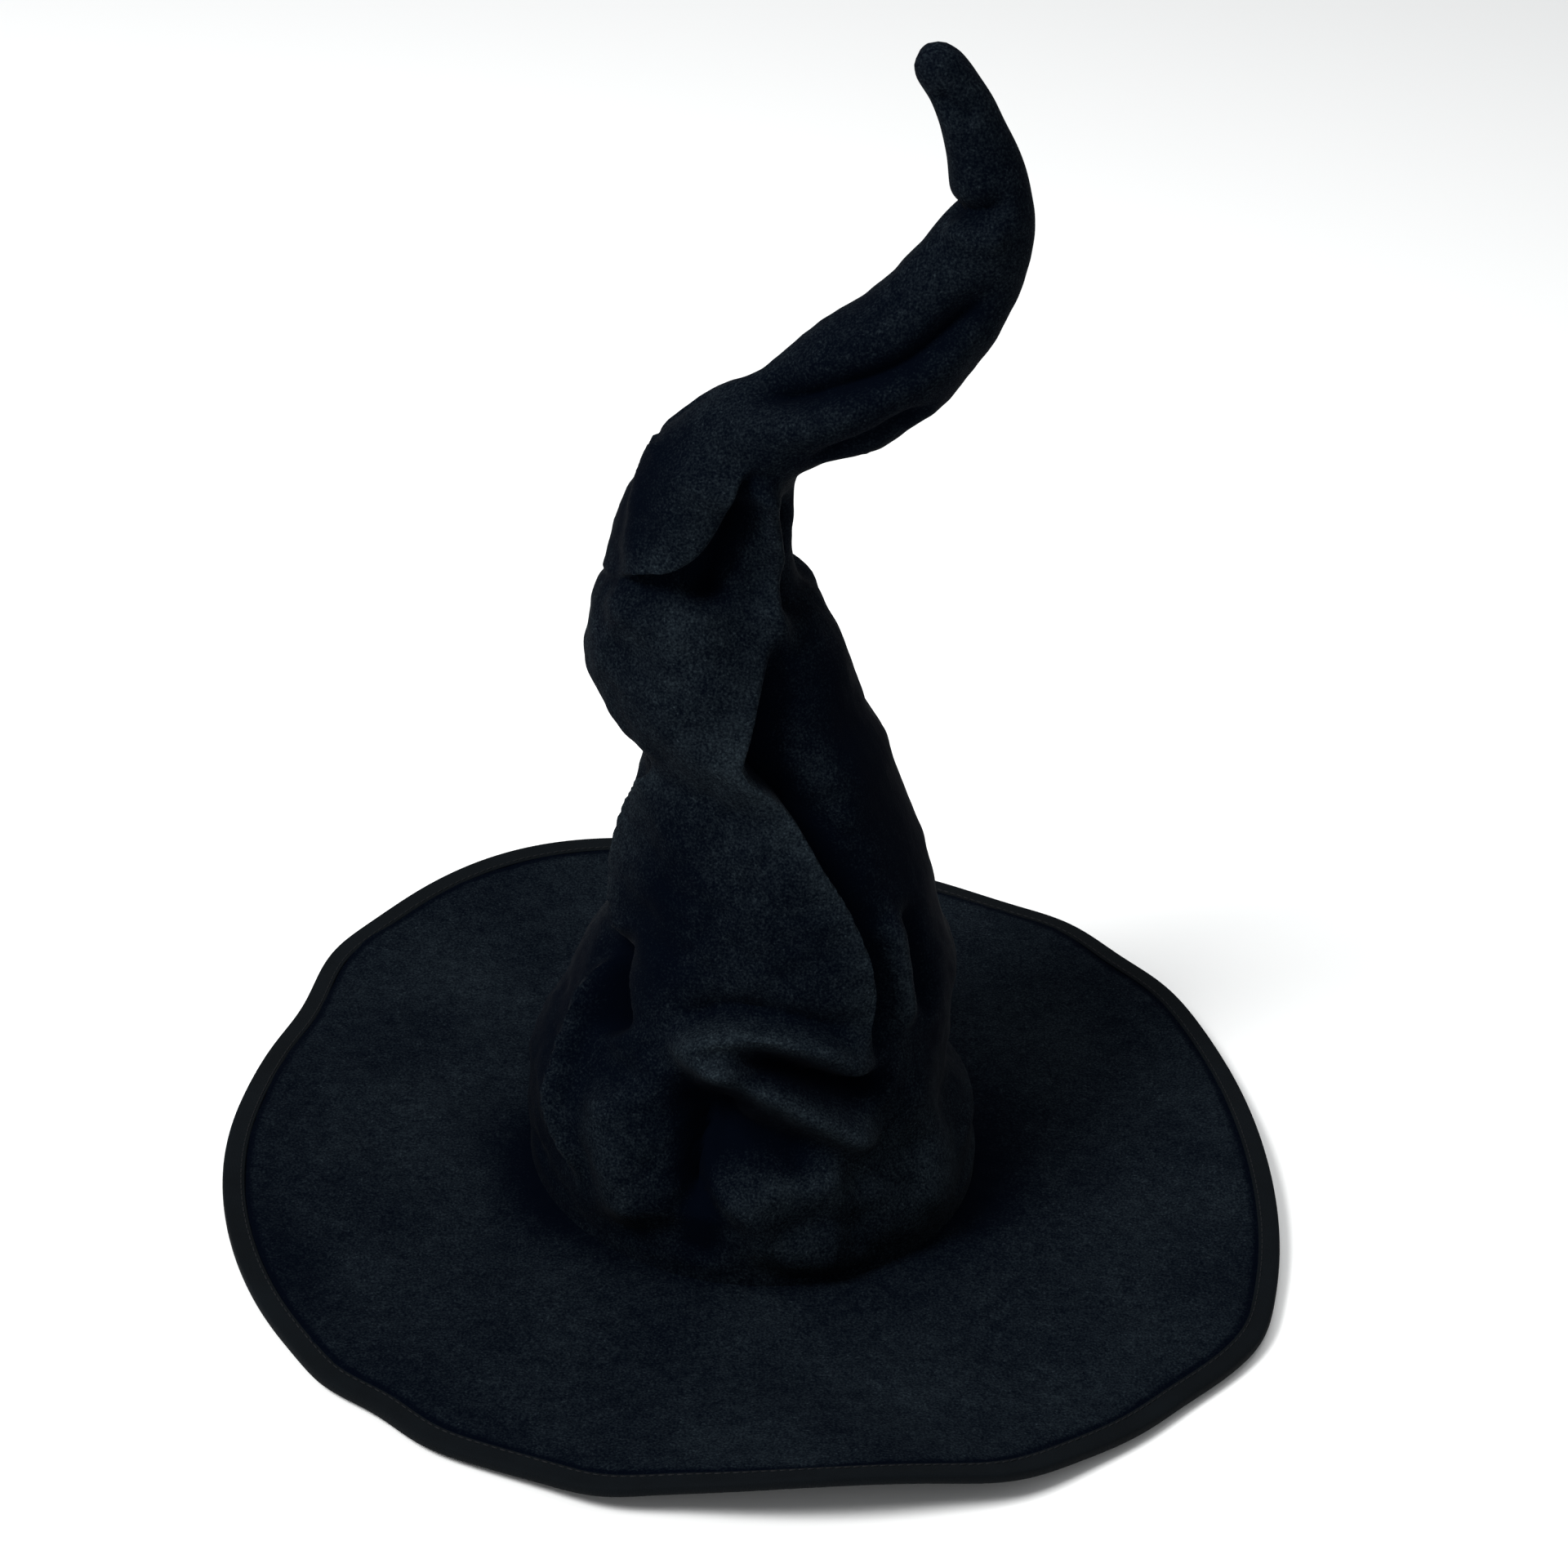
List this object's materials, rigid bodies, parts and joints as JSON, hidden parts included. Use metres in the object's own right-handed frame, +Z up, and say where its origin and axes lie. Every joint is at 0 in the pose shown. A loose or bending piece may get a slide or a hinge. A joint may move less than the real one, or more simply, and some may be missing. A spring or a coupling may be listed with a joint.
{
  "type": "witch hat",
  "caption": "Crooked black velour witch hat with a wired, waving brim and a stuffed, bendable tail that hooks over at its tip",
  "frame": {"origin": "the centre of the head opening, on the plane that the brim's underside rests on", "axes": "+Z up along the crown, +X to the wearer's left (the side the tail leans to), -Y to the front, +Y to the back"},
  "size_m": [0.4403, 0.4505, 0.4889],
  "materials": {
    "velour": "matt",
    "binding": "satin",
    "under_cloth": "matt",
    "lining": "satin",
    "ribbon": "satin",
    "tape": "matt",
    "interlining": "matt",
    "fibre": "matt",
    "wire": "satin",
    "joiner": "satin"
  },
  "bodies": {
    "hat": {"brim_top_cover": "velour", "brim_interlining": "interlining", "brim_under_cover": "under_cloth", "brim_edge_binding": "binding", "brim_edge_wire": "wire", "brim_wire_joiner": "joiner", "crown_base_cover": "velour", "crown_cover": "velour", "crown_lining": "lining", "sweatband": "ribbon", "head_seam_tape": "tape", "crown_wire": "wire", "wire_casing": "tape", "wire_foot_patch": "interlining"},
    "tail": {"tail_cover": "velour", "tail_wire": "wire", "tail_stuffing": "fibre"},
    "tip": {"tip_cover": "velour", "tip_wire": "wire", "tip_wire_wrap": "tape", "tip_stuffing": "fibre"}
  },
  "joints": [
    {"name": "neck_bend", "type": "hinge", "parent": "hat", "child": "tail", "pos_m": [-0.037, 0, 0.29], "axis": [0, 1, 0], "range_deg": [-30, 30]},
    {"name": "hook_bend", "type": "hinge", "parent": "tail", "child": "tip", "pos_m": [0.0605, 0, 0.425], "axis": [0, 1, 0], "range_deg": [-40, 40]}
  ]
}
